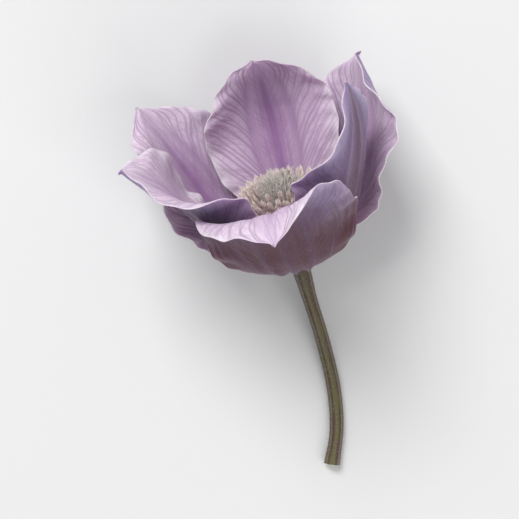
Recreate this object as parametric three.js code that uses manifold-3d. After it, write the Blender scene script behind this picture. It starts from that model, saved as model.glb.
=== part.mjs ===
// A clematis flower as picked: six tepals in two layers round a tuft of stamens and styles, on a cut stalk.
// It lies on a flat surface, its half-open cup facing +Y and up and the stalk trailing towards -Y.
// Millimetres, +Z up. The origin is on the surface, under the middle of the flower.
import * as THREE from "three";
import { mergeVertices } from "three/addons/utils/BufferGeometryUtils.js";
import Module from "manifold-3d";

const wasm = await Module();
wasm.setup();

// How the bloom is held. The heart is the middle of the receptacle, where tepals and stalk meet.
const heart = new THREE.Vector3(4.5, 1.9, 8.5);
const faceUp = 28; // degrees that the mouth of the cup looks above the horizontal
const faceLeft = 16; // degrees that it looks from +Y towards -X
const seatGap = 0.3; // between a piece and what it grows from

// Receptacle and stalk. The stalk's last points lie along the surface.
const receptacleRadius = 3.45;
const receptacleTop = 1.5; // above the heart, on the axis of the cup
const neckRadius = 1.15;
const stalkRadius = 0.85;
const cutEndFlare = 0.12;
const stalkSides = 10;
const stalkSteps = 30;
const stalkRoute = [
  [8.4, -11.1, 1.9],
  [9.8, -17.3, 0.82],
  [10.1, -22.3, 0.77],
  [9.5, -26.8, 0.78],
];

// Tepals. A blade is a sheet bent round the cup, with three ribs down its back and a waved margin.
const tepalLength = 26;
const tepalThickness = 0.62;
const ribHeight = 0.34;
const ribHalfWidth = 0.075; // as a share of half the blade's width
const sideRibsAt = 0.3; // as a share of half the blade's width
const grooveDepth = 0.14; // over each rib, in the face that looks into the cup
const clawRadius = receptacleRadius + seatGap;
const waveTurns = 2.1; // waves along each margin
const tipStart = 0.42; // where along a blade its tip starts to turn
const marginShift = 1.7; // radians by which one margin's waves run ahead of the other's
const layers = {
  inner: { halfWidth: 9.6, clawHeight: 0.75, clawAngle: 66, curl: 0.084 },
  outer: { halfWidth: 10.3, clawHeight: -0.5, clawAngle: 82, curl: 0.05 },
};

// Around is in degrees from the side that faces the sky, towards +X. Middle and tip are the angles between
// the midrib and the axis of the cup, twist turns the tip, and wave is how far the margin swings either way.
// The blade whose tip folds back outside the cup has its own bend, in place of tipStart.
const tepals = [
  { name: "tepal_1", around: 57, layer: "inner", middle: 22, tip: 2, twist: 10, wave: 0.9, phase: 0.4 },
  { name: "tepal_2", around: 118, layer: "outer", middle: 31, tip: 4, twist: -14, wave: 1.2, phase: 1.9 },
  { name: "tepal_3", around: 172, layer: "inner", middle: 25, tip: -42, twist: 12, wave: 0.9, phase: 3.1 },
  { name: "tepal_4", around: 233, layer: "outer", middle: 27, tip: 26, twist: 10, wave: 1.1, phase: 3.4 },
  { name: "tepal_5", around: 293, layer: "inner", middle: 28, tip: 46, twist: -12, wave: 1.0, phase: 5.2 },
  {
    name: "tepal_6", around: 353, layer: "outer", middle: 25, tip: 126, bend: 0.56, twist: 14, wave: 1.2,
    phase: 0.9,
  },
];

// Half the blade's width, as a share of its greatest, from the claw to the pointed tip.
const bladeOutline = [
  [0, 0.2],
  [0.1, 0.42],
  [0.25, 0.78],
  [0.45, 1],
  [0.65, 0.97],
  [0.82, 0.68],
  [0.93, 0.3],
  [1, 0.05],
];
const bladeRows = 20;
const bladeColumns = [0.09, 0.21, 0.3, 0.39, 0.48, 0.66, 0.84, 1]; // on each side, closer by the ribs

// Stamens: each a thread with an oval anther, on a low ring. Share of length, half width, half thickness.
const stamenCount = 34;
const stamenLength = 8.4;
const stamenProfile = [
  [0, 0.36, 0.32],
  [0.3, 0.36, 0.3],
  [0.68, 0.32, 0.3],
  [0.74, 0.58, 0.44],
  [0.9, 0.56, 0.44],
  [1, 0.24, 0.2],
];
const stamenLean = { middle: 5, edge: 22, jitter: 3 }; // degrees from the axis
const ringInner = 1.55;
const ringOuter = 3.1;
const ringHeight = 0.9;

// Styles: a tuft of slender threads on a small dome of ovaries. Share of length, radius.
const styleCount = 13;
const styleLength = 8.2;
const styleProfile = [
  [0, 0.34],
  [0.45, 0.32],
  [0.82, 0.32],
  [1, 0.22],
];
const tuftRadius = 0.85;
const ovaryRadius = 1.25;
const threadSides = 5;
const goldenAngle = THREE.MathUtils.degToRad(137.508);

const materials = {
  inner: new THREE.MeshStandardMaterial({ color: "#b58fb8", roughness: 0.6, metalness: 0 }),
  outer: new THREE.MeshStandardMaterial({ color: "#9d80aa", roughness: 0.6, metalness: 0 }),
  stalk: new THREE.MeshStandardMaterial({ color: "#5e5a38", roughness: 0.65, metalness: 0 }),
  stamens: new THREE.MeshStandardMaterial({ color: "#d9cfa8", roughness: 0.7, metalness: 0 }),
  styles: new THREE.MeshStandardMaterial({ color: "#cfd3b4", roughness: 0.7, metalness: 0 }),
};

const radians = THREE.MathUtils.degToRad;
const smooth = (from, to, x) => THREE.MathUtils.smoothstep(x, from, to);

// A repeatable draw between -1 and 1.
function makeDraw(seed) {
  const modulus = 2147483647;
  let state = seed;
  return () => {
    state = (state * 16807) % modulus;
    return (state / modulus) * 2 - 1;
  };
}

// The bloom's own frame: x looks to the sky side, y to +X, and z along the axis of the cup.
const axis = new THREE.Vector3(
  -Math.sin(radians(faceLeft)) * Math.cos(radians(faceUp)),
  Math.cos(radians(faceLeft)) * Math.cos(radians(faceUp)),
  Math.sin(radians(faceUp)),
);
const level = new THREE.Vector3(Math.cos(radians(faceLeft)), Math.sin(radians(faceLeft)), 0);
const skyward = level.clone().cross(axis);
const bloomMatrix = new THREE.Matrix4().makeBasis(skyward, level, axis).setPosition(heart);

// A closed solid from a geometry, and back.
function toSolid(geometry) {
  const bare = new THREE.BufferGeometry();
  bare.setAttribute("position", geometry.getAttribute("position").clone());
  bare.setIndex(geometry.index.clone());
  const merged = mergeVertices(bare, 1e-4);
  return new wasm.Manifold(
    new wasm.Mesh({
      numProp: 3,
      vertProperties: new Float32Array(merged.getAttribute("position").array),
      triVerts: new Uint32Array(merged.index.array),
    }),
  );
}

function toGeometry(solid) {
  const mesh = solid.getMesh();
  const geometry = new THREE.BufferGeometry();
  geometry.setAttribute("position", new THREE.BufferAttribute(mesh.vertProperties, 3));
  geometry.setIndex(new THREE.BufferAttribute(mesh.triVerts, 1));
  geometry.computeVertexNormals();
  return geometry;
}

function joined(geometries) {
  return geometries.map(toSolid).reduce((all, next) => all.add(next));
}

// Cuts the small flat spot on which a piece rests, where it reaches below the surface.
function restOnSurface(solid, matrix) {
  const turn = new THREE.Matrix4().extractRotation(matrix).transpose();
  const up = new THREE.Vector3(0, 0, 1).applyMatrix4(turn);
  const height = new THREE.Vector3().setFromMatrixPosition(matrix).z;
  return solid.trimByPlane([up.x, up.y, up.z], -height);
}

// A body turned on the axis of the cup, from a profile of radius and height.
function turned(profile, sides) {
  const points = profile.map(([radius, height]) => new THREE.Vector2(radius, height));
  return new THREE.LatheGeometry(points, sides).rotateX(Math.PI / 2);
}

// A stack of rings of points with a fan over each end.
function loft(rings) {
  const sides = rings[0].length;
  const points = rings.flat();
  const middle = (ring) => ring.reduce((sum, p) => sum.add(p), new THREE.Vector3()).divideScalar(sides);
  const start = points.push(middle(rings[0])) - 1;
  const end = points.push(middle(rings.at(-1))) - 1;
  const last = (rings.length - 1) * sides;
  const faces = [];
  for (let side = 0; side < sides; side++) {
    const next = (side + 1) % sides;
    for (let row = 0; row < last; row += sides) {
      faces.push(row + side, row + next, row + next + sides);
      faces.push(row + side, row + next + sides, row + side + sides);
    }
    faces.push(start, next, side, end, last + side, last + next);
  }
  const geometry = new THREE.BufferGeometry().setFromPoints(points);
  geometry.setIndex(faces);
  return geometry;
}

// An oval rod through stations of { at, along, sideways, wide, thick }.
function rod(stations, sides) {
  const ring = ({ at, along, sideways, wide, thick }) => {
    const across = sideways.clone().addScaledVector(along, -sideways.dot(along)).normalize();
    const up = along.clone().cross(across);
    return Array.from({ length: sides }, (_, side) => {
      const angle = (2 * Math.PI * side) / sides;
      const point = at.clone().addScaledVector(across, wide * Math.cos(angle));
      return point.addScaledVector(up, thick * Math.sin(angle));
    });
  };
  return loft(stations.map(ring));
}

// The midrib at a share s of its length: its distance from the axis, its height and its angle to the axis.
function midrib(tepal, s) {
  const { clawHeight, clawAngle } = layers[tepal.layer];
  const angleAt = (x) => {
    const toMiddle = (tepal.middle - clawAngle) * smooth(0, 0.34, x);
    const toTip = (tepal.tip - tepal.middle) * smooth(tepal.bend ?? tipStart, 1, x);
    return radians(clawAngle + toMiddle + toTip);
  };
  const steps = 48;
  const stride = (s * tepalLength) / steps;
  let distance = clawRadius;
  let height = clawHeight;
  for (let i = 0; i < steps; i++) {
    const angle = angleAt((s * (i + 0.5)) / steps);
    distance += stride * Math.sin(angle);
    height += stride * Math.cos(angle);
  }
  return { distance, height, angle: angleAt(s) };
}

const outlineCurve = new THREE.SplineCurve(bladeOutline.map(([s, half]) => new THREE.Vector2(s, half)));
function widthShare(s) {
  let low = 0;
  let high = 1;
  for (let i = 0; i < 24; i++) {
    const half = (low + high) / 2;
    if (outlineCurve.getPoint(half).x < s) low = half;
    else high = half;
  }
  return outlineCurve.getPoint(low).y;
}

// A point of the blade's middle surface in the bloom's frame, at s from claw to tip and t from side to side.
function bladePoint(tepal, s, t) {
  const layer = layers[tepal.layer];
  const { distance, height, angle } = midrib(tepal, s);
  const curl = layer.curl * (1 - 0.75 * smooth(0.55, 1, s));
  const across = t * layer.halfWidth * widthShare(s);
  const side = Math.sin(curl * across) / curl;
  const hollow = (1 - Math.cos(curl * across)) / curl;
  const swing = smooth(0.35, 1, Math.abs(t)) * smooth(0.2, 0.5, s) * (1 - 0.5 * smooth(0.85, 1, s));
  const start = tepal.phase + (t > 0 ? marginShift : 0);
  const lift = hollow + tepal.wave * swing * Math.sin(2 * Math.PI * waveTurns * s + start);
  const turn = radians(tepal.twist) * smooth(0.5, 1, s);
  const turnedSide = side * Math.cos(turn) - lift * Math.sin(turn);
  const turnedLift = side * Math.sin(turn) + lift * Math.cos(turn);
  const radial = distance - turnedLift * Math.cos(angle);
  const point = new THREE.Vector3(radial, turnedSide, height + turnedLift * Math.sin(angle));
  return point.applyAxisAngle(new THREE.Vector3(0, 0, 1), radians(tepal.around));
}

// How much of a rib stands at s and t, from 0 to 1: the midrib and one rib on each side, fading to the tip.
function ribShare(s, t) {
  const bump = (at) => Math.exp(-(((t - at) / ribHalfWidth) ** 2));
  return (bump(0) + 0.8 * bump(sideRibsAt) + 0.8 * bump(-sideRibsAt)) * (1 - smooth(0.72, 0.98, s));
}

// The blade as a closed solid. Both faces are split along the same diagonals, so that they never cross.
function tepalGeometry(tepal) {
  const step = 0.01;
  const spread = (value, low) => [Math.max(low, value - step), Math.min(1, value + step)];
  const columns = [...bladeColumns.map((t) => -t).reverse(), 0, ...bladeColumns];
  const front = [];
  const back = [];
  for (let row = 0; row <= bladeRows; row++) {
    const s = row / bladeRows;
    const [before, after] = spread(s, 0);
    for (const t of columns) {
      const [left, right] = spread(t, -1);
      const at = bladePoint(tepal, s, t);
      const along = bladePoint(tepal, after, t).sub(bladePoint(tepal, before, t));
      const across = bladePoint(tepal, s, right).sub(bladePoint(tepal, s, left));
      const inwards = along.cross(across).normalize();
      const rib = ribShare(s, t);
      front.push(at.clone().addScaledVector(inwards, tepalThickness / 2 - grooveDepth * rib));
      back.push(at.clone().addScaledVector(inwards, -tepalThickness / 2 - ribHeight * rib));
    }
  }
  const wide = columns.length;
  const behind = front.length;
  const tipRow = bladeRows * wide;
  const faces = [];
  const quad = (a, b, c, d) => faces.push(a, b, c, a, c, d);
  for (let row = 0; row < tipRow; row += wide) {
    for (let a = row; a + 1 < row + wide; a++) {
      quad(a, a + wide, a + wide + 1, a + 1);
      quad(behind + a, behind + a + 1, behind + a + wide + 1, behind + a + wide);
    }
    const end = row + wide - 1;
    quad(row, behind + row, behind + row + wide, row + wide);
    quad(end, end + wide, behind + end + wide, behind + end);
  }
  for (let a = 0; a + 1 < wide; a++) {
    const b = tipRow + a;
    quad(a, a + 1, behind + a + 1, behind + a);
    quad(b, behind + b, behind + b + 1, b + 1);
  }
  const geometry = new THREE.BufferGeometry().setFromPoints([...front, ...back]);
  geometry.setIndex(faces);
  return geometry;
}

// The stalk runs back from the receptacle along the axis and bends down to the surface.
function stalkGeometry() {
  const behindHeart = (distance) => heart.clone().addScaledVector(axis, -distance);
  const lying = stalkRoute.map(([x, y, z]) => new THREE.Vector3(x, y, z));
  const points = [behindHeart(1.6), behindHeart(3), behindHeart(7.2), ...lying];
  const path = new THREE.CatmullRomCurve3(points, false, "centripetal");
  const frames = path.computeFrenetFrames(stalkSteps);
  const stations = frames.tangents.map((along, i) => {
    const s = i / stalkSteps;
    const slender = THREE.MathUtils.lerp(neckRadius, stalkRadius, smooth(0.02, 0.28, s));
    const radius = slender + cutEndFlare * smooth(0.9, 1, s);
    return { at: path.getPointAt(s), along, sideways: frames.normals[i], wide: radius, thick: radius };
  });
  return rod(stations, stalkSides);
}

// The receptacle swells from the neck of the stalk to a low dome that carries the tepals and the tuft.
function receptacleGeometry() {
  const profile = [
    [0, -3.4],
    [neckRadius, -3.4],
    [neckRadius + 0.25, -2.4],
    [receptacleRadius - 0.55, -1.5],
    [receptacleRadius, -0.9],
    [receptacleRadius, receptacleTop - 0.35],
    [receptacleRadius - 0.35, receptacleTop],
    [0, receptacleTop],
  ];
  return turned(profile, 20);
}

function spreadAround(index, count) {
  const around = index * goldenAngle;
  const out = new THREE.Vector3(Math.cos(around), Math.sin(around), 0);
  const sideways = new THREE.Vector3(-Math.sin(around), Math.cos(around), 0);
  return { out, sideways, share: Math.sqrt((index + 0.5) / count) };
}

// A stamen leans out a little more the further it stands from the middle, and most near its end.
function stamenGeometry(index, draw) {
  const { out, sideways, share } = spreadAround(index, stamenCount);
  const lean = stamenLean.middle + (stamenLean.edge - stamenLean.middle) * share + stamenLean.jitter * draw();
  const long = stamenLength * (1 - 0.16 * share + 0.05 * draw());
  const at = out.clone().multiplyScalar(THREE.MathUtils.lerp(ringInner + 0.3, ringOuter - 0.3, share));
  at.z = receptacleTop + seatGap + 0.25;
  let reached = 0;
  const stations = stamenProfile.map(([s, wide, thick]) => {
    const angle = radians(lean * (0.35 + 0.65 * smooth(0, 0.8, s)));
    const along = out.clone().multiplyScalar(Math.sin(angle)).setZ(Math.cos(angle));
    at.addScaledVector(along, (s - reached) * long);
    reached = s;
    return { at: at.clone(), along, sideways, wide, thick };
  });
  return rod(stations, threadSides);
}

function stamensSolid() {
  const bottom = receptacleTop + seatGap;
  const ring = [
    [ringInner, bottom],
    [ringOuter, bottom],
    [ringOuter, bottom + ringHeight],
    [ringInner, bottom + ringHeight],
    [ringInner, bottom],
  ];
  const draw = makeDraw(4211);
  const threads = Array.from({ length: stamenCount }, (_, i) => stamenGeometry(i, draw));
  return joined([turned(ring, 20), ...threads]);
}

// A style stands nearly upright and bends out a little at its end.
function styleGeometry(index, draw) {
  const { out, sideways, share } = spreadAround(index, styleCount);
  const long = styleLength * (1 - 0.07 * share + 0.05 * draw());
  const stations = styleProfile.map(([s, half]) => {
    const angle = radians(3 + 9 * smooth(0.4, 1, s)) * share;
    const along = out.clone().multiplyScalar(Math.sin(angle)).setZ(Math.cos(angle));
    const at = out.clone().multiplyScalar(tuftRadius * share + long * s * Math.sin(angle));
    at.z = receptacleTop + seatGap + 0.2 + long * s;
    return { at, along, sideways, wide: half, thick: half };
  });
  return rod(stations, threadSides);
}

function stylesSolid() {
  const bottom = receptacleTop + seatGap;
  const dome = [
    [0, bottom],
    [ovaryRadius, bottom],
    [ovaryRadius, bottom + 0.8],
    [ovaryRadius - 0.45, bottom + 1.5],
    [0, bottom + 1.7],
  ];
  const draw = makeDraw(977);
  const threads = Array.from({ length: styleCount }, (_, i) => styleGeometry(i, draw));
  return joined([turned(dome, 12), ...threads]);
}

function addPiece(group, name, solid, material) {
  const piece = new THREE.Mesh(toGeometry(solid), material);
  piece.name = name;
  group.add(piece);
}

const flower = new THREE.Group();
const bloom = new THREE.Group();
bloomMatrix.decompose(bloom.position, bloom.quaternion, bloom.scale);
flower.add(bloom);

for (const tepal of tepals) {
  const blade = restOnSurface(toSolid(tepalGeometry(tepal)), bloomMatrix);
  addPiece(bloom, tepal.name, blade, materials[tepal.layer]);
}
addPiece(bloom, "stamens", stamensSolid(), materials.stamens);
addPiece(bloom, "styles", stylesSolid(), materials.styles);

const receptacle = receptacleGeometry().applyMatrix4(bloomMatrix);
const stalk = joined([stalkGeometry(), receptacle]);
addPiece(flower, "stalk", restOnSurface(stalk, new THREE.Matrix4()), materials.stalk);

export default flower;
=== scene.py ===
import math

import bpy
import numpy as np
from mathutils import Matrix, Vector


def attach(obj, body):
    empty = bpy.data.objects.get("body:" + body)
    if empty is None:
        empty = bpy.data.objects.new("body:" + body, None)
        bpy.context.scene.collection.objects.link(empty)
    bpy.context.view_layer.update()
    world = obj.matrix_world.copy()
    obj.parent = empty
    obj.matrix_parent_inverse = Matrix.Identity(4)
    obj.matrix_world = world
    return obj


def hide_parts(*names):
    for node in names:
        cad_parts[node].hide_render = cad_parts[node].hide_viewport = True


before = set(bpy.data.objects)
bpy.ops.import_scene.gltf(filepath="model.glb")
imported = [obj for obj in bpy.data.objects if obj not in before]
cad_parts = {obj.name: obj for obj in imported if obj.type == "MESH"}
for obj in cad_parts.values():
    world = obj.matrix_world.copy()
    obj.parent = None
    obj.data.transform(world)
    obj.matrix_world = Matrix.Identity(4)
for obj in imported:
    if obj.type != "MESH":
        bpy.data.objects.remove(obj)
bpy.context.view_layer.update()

mm = 0.001
print("frame loaded:", sorted(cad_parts))

# A picked clematis flower lying on its side. Sizes in the dictionaries are millimetres and degrees, and
# what a Geometry Nodes tree is given is turned to metres and radians there.
bloomPlace = {
    "heart": (4.5, 1.9, 8.5),  # middle of the receptacle
    "faceUp": 28,  # how far the mouth of the cup looks above the horizontal
    "faceLeft": 16,  # how far it looks from +Y towards -X
}


def hexColour(text):
    channels = [int(text[i:i + 2], 16) / 255 for i in (1, 3, 5)]
    linear = [c / 12.92 if c <= 0.04045 else ((c + 0.055) / 1.055) ** 2.4 for c in channels]
    return (*linear, 1.0)


# Adds a node with its inputs and settings, and gives back one of its outputs, or the node where it has none.
def addNode(tree, kind, inputs=None, output=0, **settings):
    node = tree.nodes.new(kind)
    for name, value in settings.items():
        setattr(node, name, value)
    for key, value in (inputs or {}).items():
        if isinstance(value, bpy.types.NodeSocket):
            tree.links.new(value, node.inputs[key])
        else:
            node.inputs[key].default_value = value
    return node.outputs[output] if node.outputs else node


# Adds a node that calculates from numbers and other nodes.
def mathNode(tree, operation, *values, **settings):
    return addNode(tree, "ShaderNodeMath", dict(enumerate(values)), operation=operation, **settings)


# Adds a node that goes from first to last while the value goes from low to high.
def rangeNode(tree, value, low, high, first, last, easing="SMOOTHSTEP"):
    inputs = {0: value, 1: low, 2: high, 3: first, 4: last}
    return addNode(tree, "ShaderNodeMapRange", inputs, interpolation_type=easing)


def noiseNode(tree, place, size, detail):
    return addNode(tree, "ShaderNodeTexNoise", {"Vector": place, "Scale": 1 / size, "Detail": detail}, "Fac")


# Adds a node that reads an attribute by its name, in Geometry Nodes.
def markNode(tree, name, kind="FLOAT"):
    return addNode(tree, "GeometryNodeInputNamedAttribute", {"Name": name}, "Attribute", data_type=kind)


# Goes from 0 at low to 1 at high, and eases at both ends.
def smooth(low, high, x):
    share = np.clip((x - low) / (high - low), 0, 1)
    return share * share * (3 - 2 * share)


# The bloom's own frame: x looks to the sky side, y to +X, and z along the axis of the cup.
def bloomAxes(place):
    up, left = math.radians(place["faceUp"]), math.radians(place["faceLeft"])
    axis = Vector((-math.sin(left) * math.cos(up), math.cos(left) * math.cos(up), math.sin(up)))
    level = Vector((math.cos(left), math.sin(left), 0))
    return level.cross(axis), level, axis


skyward, level, axis = bloomAxes(bloomPlace)
heart = Vector(bloomPlace["heart"]) * mm
bloomMatrix = Matrix.Translation(heart) @ Matrix((skyward, level, axis)).transposed().to_4x4()


def addPiece(name, mesh):
    piece = bpy.data.objects.new(name, mesh)
    bpy.context.scene.collection.objects.link(piece)
    return piece


def markPoints(mesh, marks):
    for name, values in marks.items():
        attribute = mesh.attributes.new(name, "FLOAT", "POINT")
        attribute.data.foreach_set("value", np.asarray(values, np.float32).ravel())


# What would reach below the surface that the flower lies on is pressed flat on it.
def keepAboveSurface(piece):
    for vertex in piece.data.vertices:
        vertex.co.z = max(vertex.co.z, 0)


def declarePiece(piece, node):
    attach(piece, "root")
    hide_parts(node)


def startMaterial(name, surface):
    material = bpy.data.materials.new(name)
    material.use_nodes = True
    shader = material.node_tree.nodes["Principled BSDF"]
    for key, value in surface.items():
        shader.inputs[key].default_value = value
    return material, material.node_tree, shader


def setStops(ramp, stops):
    while len(ramp.elements) < len(stops):
        ramp.elements.new(0.5)
    for element, (at, colour) in zip(ramp.elements, stops):
        element.position, element.color = at, hexColour(colour)


# Lays tones over a colour, each by its own share, and gives the result to the shader. On a Mix node, inputs
# 6 and 7 are the two colours and output 2 is the mixed one.
def layTones(tree, shader, colour, layers):
    for share, tone in layers:
        mixed = {0: share, 6: colour, 7: hexColour(tone)}
        colour = addNode(tree, "ShaderNodeMix", mixed, 2, data_type="RGBA")
    tree.links.new(colour, shader.inputs["Base Color"])


# What the faces and the outsides of the petals share.
petalSkin = {
    "surface": {
        "IOR": 1.4, "Sheen Weight": 0.3, "Subsurface Scale": 0.9 * mm, "Subsurface Radius": (1.0, 0.5, 0.9),
    },
    "wide": 20, "long": 26,  # what the UV map of a blade stretches to 1 each way
    # The net of finest veins, between those of the mesh. Its long cells lie along the veins, which run out
    # from the midrib at netLean. The two halves of a blade draw from different layers of the pattern.
    "netLean": 50, "netCellLong": 1.9, "netCellWide": 0.62, "netLine": 0.1, "netLayer": 7.3,
    "streakDetail": 3.0,
    "cellSize": 0.16,  # domed skin cells are 0.03 mm across and are drawn coarser, to show
    "cellDepth": 0.03, "foldDepth": 0.06, "veinDepth": 0.04, "veinRelief": 0.35,
}


def veinNet(tree, fromRib, alongBlade, side, skin):
    ribPlace = 0.5  # of the midrib on the UV map
    half = mathNode(tree, "GREATER_THAN", side, ribPlace)
    flat = addNode(tree, "ShaderNodeCombineXYZ", {0: fromRib, 1: alongBlade, 2: half})
    leaning = addNode(tree, "ShaderNodeMapping", {
        "Vector": flat, "Scale": (skin["wide"] / 2, skin["long"], 1),
        "Rotation": (0, 0, -math.radians(skin["netLean"])),
    })
    cellPlace = addNode(tree, "ShaderNodeMapping", {
        "Vector": leaning, "Scale": (1 / skin["netCellLong"], 1 / skin["netCellWide"], skin["netLayer"]),
    })
    cells = {"Vector": cellPlace, "Scale": 1.0}
    toEdge = addNode(tree, "ShaderNodeTexVoronoi", cells, feature="DISTANCE_TO_EDGE")
    return rangeNode(tree, toEdge, 0.0, skin["netLine"], 1.0, 0.0)


# How far a point of a petal is from midrib and claw, its veins and its silky streaks.
def petalPattern(tree, look):
    place = addNode(tree, "ShaderNodeUVMap", uv_map="blade")
    split = addNode(tree, "ShaderNodeSeparateXYZ", {0: place}).node
    side, alongBlade = split.outputs[0], split.outputs[1]
    centred = mathNode(tree, "MULTIPLY_ADD", side, 2.0, -1.0)
    fromRib = mathNode(tree, "ABSOLUTE", centred)
    net = veinNet(tree, fromRib, alongBlade, side, petalSkin)
    faint = mathNode(tree, "MULTIPLY", net, look["netShare"])
    marked = addNode(tree, "ShaderNodeAttribute", output="Fac", attribute_name="veins")
    veins = mathNode(tree, "MAXIMUM", marked, faint)
    repeats = (petalSkin["wide"] / look["streakWide"], petalSkin["long"] / look["streakLong"], 1.0)
    stretched = addNode(tree, "ShaderNodeMapping", {"Vector": place, "Scale": repeats})
    streaks = noiseNode(tree, stretched, 1.0, petalSkin["streakDetail"])
    return fromRib, alongBlade, veins, streaks


# Silky folds, sunken veins and domed skin cells as relief on a petal's shader.
def petalRelief(tree, shader, spots, streaks, veins, relief):
    cellScale = 1 / (petalSkin["cellSize"] * mm)
    cells = addNode(tree, "ShaderNodeTexVoronoi", {"Vector": spots, "Scale": cellScale}, "Distance")
    normal = None
    for height, depth, strength, inwards in (
        (streaks, "foldDepth", relief, False),
        (veins, "veinDepth", petalSkin["veinRelief"], True),
        (cells, "cellDepth", relief, False),
    ):
        inputs = {"Strength": strength, "Distance": petalSkin[depth] * mm, "Height": height}
        if normal:
            inputs["Normal"] = normal
        normal = addNode(tree, "ShaderNodeBump", inputs, invert=inwards)
    tree.links.new(normal, shader.inputs["Normal"])


petalFaceLook = {
    "surface": {
        **petalSkin["surface"], "Roughness": 0.62, "Sheen Roughness": 0.45, "Subsurface Weight": 0.25,
        "Sheen Tint": hexColour("#efdff2"),
    },
    # From the dark bar along the midrib to the pale margin, whose paleness is partly the petal's own and
    # partly painted light on its thin edges.
    "across": (
        (0, "#a583aa"), (0.15, "#af90b2"), (0.34, "#c6afc7"),
        (0.62, "#d2bed1"), (0.88, "#dbccda"), (1, "#e4d9e2"),
    ),
    "barWander": 0.13,  # how far the bar's edge strays, as a share of half the width
    "blushSize": 5.0, "blushDetail": 4.0,
    "streakWide": 0.45, "streakLong": 5.0,
    "netShare": 0.34, "relief": 0.25,
    # Colours laid over that, each with where its mark starts and ends and its share there.
    "layers": {
        "claw": ("#d9cfd6", 0.02, 0.3, 0.75, 0.0),  # pale where the blade narrows to the receptacle
        # Paler tips, partly their own tint and partly painted light: lightened so the upper petals look lit
        # from above.
        "tip": ("#ecdfec", 0.55, 0.97, 0.0, 0.62),
        "blush": ("#a384a9", 0.5, 0.75, 0.0, 0.3),
        "streak": ("#d3bfd6", 0.45, 0.75, 0.0, 0.35),
        "vein": ("#7b4a85", 0.0, 1.0, 0.0, 0.6),
    },
}


# Velvety petal skin, as grown: domed cells scatter the light, so it is matt, with a soft pale glow where
# it turns away from the eye.
def makePetalFace(name, look):
    material, tree, shader = startMaterial(name, look["surface"])
    fromRib, alongBlade, veins, streaks = petalPattern(tree, look)
    spots = addNode(tree, "ShaderNodeTexCoord", output="Object")
    blush = noiseNode(tree, spots, look["blushSize"] * mm, look["blushDetail"])
    wander = mathNode(tree, "MULTIPLY_ADD", blush, 2 * look["barWander"], -look["barWander"])
    fromBar = mathNode(tree, "ADD", fromRib, wander)
    colour = addNode(tree, "ShaderNodeValToRGB", {0: fromBar})
    setStops(colour.node.color_ramp, look["across"])
    marks = {"claw": alongBlade, "tip": alongBlade, "blush": blush, "streak": streaks, "vein": veins}
    layers = []
    for layer, (tone, low, high, first, last) in look["layers"].items():
        easing = "LINEAR" if layer == "vein" else "SMOOTHSTEP"
        layers.append((rangeNode(tree, marks[layer], low, high, first, last, easing), tone))
    layTones(tree, shader, colour, layers)
    petalRelief(tree, shader, spots, streaks, veins, look["relief"])
    return material


petalBackLook = {
    "surface": {
        **petalSkin["surface"], "Roughness": 0.7, "Sheen Roughness": 0.6, "Subsurface Weight": 0.2,
        "Sheen Tint": hexColour("#dcd6ea"),
    },
    # From the midrib to the margin.
    "across": (
        (0, "#67495f"), (0.14, "#7a5d7c"), (0.34, "#877096"),
        (0.62, "#9886ad"), (0.92, "#b3a2c4"), (1, "#c2b1cf"),
    ),
    "base": "#573132",  # maroon-brown near the claw, partly the petals' own tint and partly painted shade of the cup's underside
    "baseFull": 0.1, "baseEnd": 0.78,  # how far up the blade it is full, and where it ends
    "baseStreaks": 0.5,  # what is added to the streaks, which lie around 0.5, before they mottle it
    "vein": "#5a4060", "veinShare": 0.5,
    "streakWide": 0.6, "streakLong": 6.0,
    "netShare": 0.36, "relief": 0.3,
}
# On the outer layer the maroon reaches further up its petals. This is partly their own tint and partly
# painted shade where their outsides turn from the light.
outerBackShadedLook = {**petalBackLook, "baseFull": 0.34, "baseEnd": 0.9}


# The downy outside of a petal: duller and bluer than the face, with a grey bloom of fine hairs on its ribs.
def makePetalBack(name, look):
    material, tree, shader = startMaterial(name, look["surface"])
    fromRib, alongBlade, veins, streaks = petalPattern(tree, look)
    spots = addNode(tree, "ShaderNodeTexCoord", output="Object")
    colour = addNode(tree, "ShaderNodeValToRGB", {0: fromRib})
    setStops(colour.node.color_ramp, look["across"])
    # Maroon near the claw, partly the petals' own tint and partly painted shade.
    maroonAndShadeShare = rangeNode(tree, alongBlade, look["baseFull"], look["baseEnd"], 1.0, 0.0)
    uneven = mathNode(tree, "ADD", streaks, look["baseStreaks"])
    base = mathNode(tree, "MULTIPLY", maroonAndShadeShare, uneven, use_clamp=True)
    vein = mathNode(tree, "MULTIPLY", veins, look["veinShare"], use_clamp=True)
    layTones(tree, shader, colour, ((base, look["base"]), (vein, look["vein"])))
    petalRelief(tree, shader, spots, streaks, veins, look["relief"])
    return material


stemLook = {
    "surface": {
        "Roughness": 0.5, "IOR": 1.42, "Sheen Weight": 0.2, "Sheen Roughness": 0.5,
        "Subsurface Weight": 0.1, "Subsurface Scale": 0.6 * mm, "Subsurface Radius": (0.8, 0.9, 0.3),
    },
    "green": "#626239",
    "flush": "#50332d",  # maroon-brown on the ridges and in patches
    "flushOnRidge": 0.3,
    "flushRange": (0.4, 0.85, 0.1, 0.95),  # where it starts and is full, and its share before and after
    "collar": "#44302f",  # darker where the petals join
    "collarShare": 0.8,
    "crown": "#b3a88e",  # pale top of the receptacle, under the stamens
    "cut": "#b9bd8a",  # fresh pith
    "patchSize": 4.0, "patchDetail": 5.0,
    "grainSize": 0.25, "grainDetail": 2.0, "grainDepth": 0.05, "grainRelief": 0.3,
}


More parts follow.
